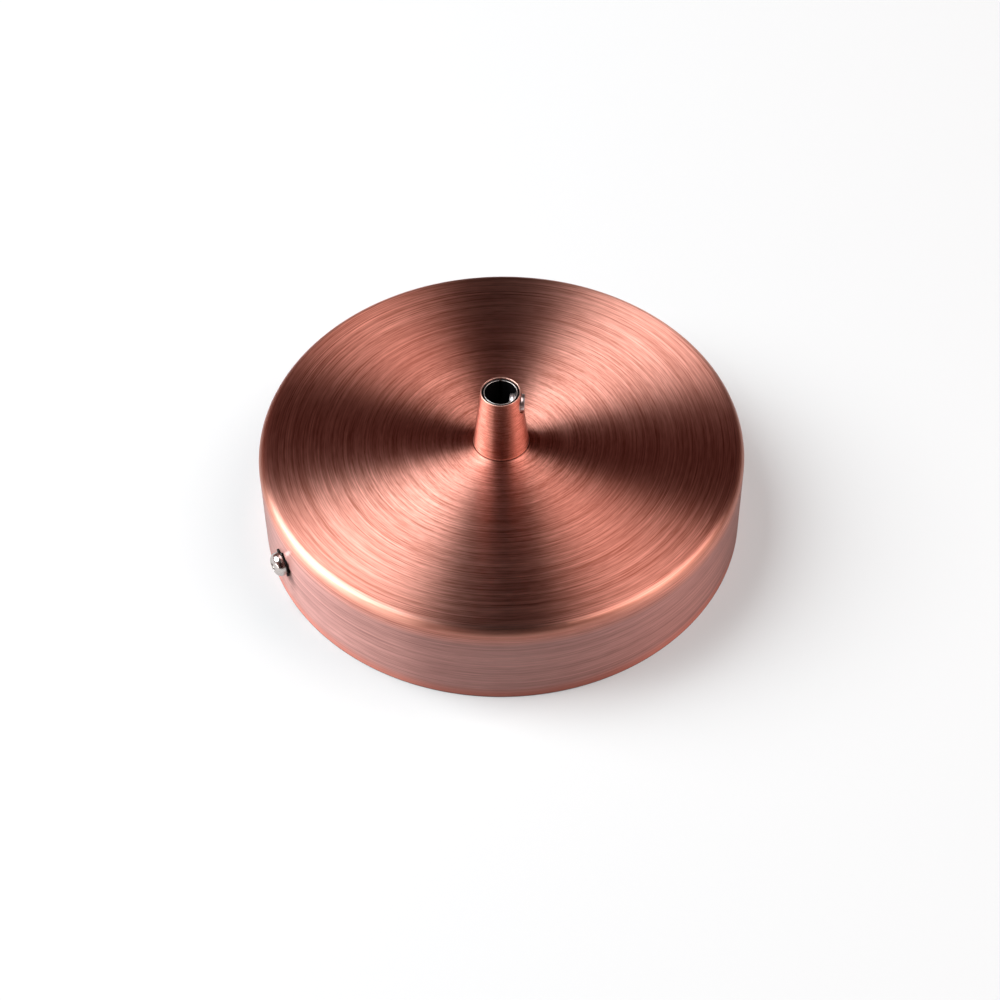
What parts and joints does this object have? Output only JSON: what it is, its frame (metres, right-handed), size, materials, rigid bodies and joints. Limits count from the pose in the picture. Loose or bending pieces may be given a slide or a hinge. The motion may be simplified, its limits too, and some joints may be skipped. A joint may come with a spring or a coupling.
{
  "type": "electrical ceiling rose",
  "caption": "Round cup-shaped ceiling rose with a tapered cord grip, side screws, strap bracket and terminal block inside.",
  "frame": {"origin": "centre of the plane that the cover's rim touches, the ceiling plane", "axes": "+Z away from the ceiling, along the cord grip; X along the strap bracket and through both side screws"},
  "size_m": [0.126, 0.12, 0.0424],
  "materials": {
    "copper_cover": "copper plated, turned to a fine circular brush, lacquered",
    "copper_grip": "copper plated, turned smooth",
    "black_liner": "glossy moulded",
    "nickel_screw": "bright nickel",
    "black_washer": "black oxide",
    "zinc_steel": "bright zinc plated",
    "zinc_bracket": "zinc plated, pressed",
    "terminal_moulding": "natural nylon",
    "terminal_brass": "drawn, plain",
    "terminal_screw_steel": "yellow zinc plated",
    "earth_brass": "turned, plain"
  },
  "bodies": {
    "root": {"cover": "copper_cover", "cord_grip_body": "copper_grip", "grip_liner": "black_liner", "grip_lock_washer": "zinc_steel", "grip_nut": "zinc_steel", "bracket": "zinc_bracket", "terminal_block": "terminal_moulding", "terminal_tube_1": "terminal_brass", "terminal_tube_2": "terminal_brass", "terminal_tube_3": "terminal_brass", "terminal_fixing_screw_1": "zinc_steel", "terminal_fixing_screw_2": "zinc_steel"},
    "side_screw_right": {"side_screw_right": "nickel_screw", "side_washer_right": "black_washer"},
    "side_screw_left": {"side_screw_left": "nickel_screw", "side_washer_left": "black_washer"},
    "grip_screw": {"grip_screw": "nickel_screw"},
    "earth_screw": {"earth_screw": "earth_brass", "earth_washer": "earth_brass"},
    "terminal_screw_1": {"terminal_screw_1": "terminal_screw_steel"},
    "terminal_screw_2": {"terminal_screw_2": "terminal_screw_steel"},
    "terminal_screw_3": {"terminal_screw_3": "terminal_screw_steel"},
    "terminal_screw_4": {"terminal_screw_4": "terminal_screw_steel"},
    "terminal_screw_5": {"terminal_screw_5": "terminal_screw_steel"},
    "terminal_screw_6": {"terminal_screw_6": "terminal_screw_steel"}
  },
  "joints": [
    {"name": "side_screw_right_out", "type": "slide", "parent": "root", "child": "side_screw_right", "axis": [1, 0, 0], "range_m": [0, 0.0055]},
    {"name": "side_screw_left_out", "type": "slide", "parent": "root", "child": "side_screw_left", "axis": [-1, 0, 0], "range_m": [0, 0.0055]},
    {"name": "grip_screw_out", "type": "slide", "parent": "root", "child": "grip_screw", "axis": [0.8387, -0.5446, 0], "range_m": [-0.0015, 0.0017]},
    {"name": "earth_screw_up", "type": "slide", "parent": "root", "child": "earth_screw", "axis": [0, 0, 1], "range_m": [0, 0.0028]},
    {"name": "terminal_screw_1_up", "type": "slide", "parent": "root", "child": "terminal_screw_1", "axis": [0, 0, 1], "range_m": [-0.0028, 0.001]},
    {"name": "terminal_screw_2_up", "type": "slide", "parent": "root", "child": "terminal_screw_2", "axis": [0, 0, 1], "range_m": [-0.0028, 0.001]},
    {"name": "terminal_screw_3_up", "type": "slide", "parent": "root", "child": "terminal_screw_3", "axis": [0, 0, 1], "range_m": [-0.0028, 0.001]},
    {"name": "terminal_screw_4_up", "type": "slide", "parent": "root", "child": "terminal_screw_4", "axis": [0, 0, 1], "range_m": [-0.0028, 0.001]},
    {"name": "terminal_screw_5_up", "type": "slide", "parent": "root", "child": "terminal_screw_5", "axis": [0, 0, 1], "range_m": [-0.0028, 0.001]},
    {"name": "terminal_screw_6_up", "type": "slide", "parent": "root", "child": "terminal_screw_6", "axis": [0, 0, 1], "range_m": [-0.0028, 0.001]}
  ]
}
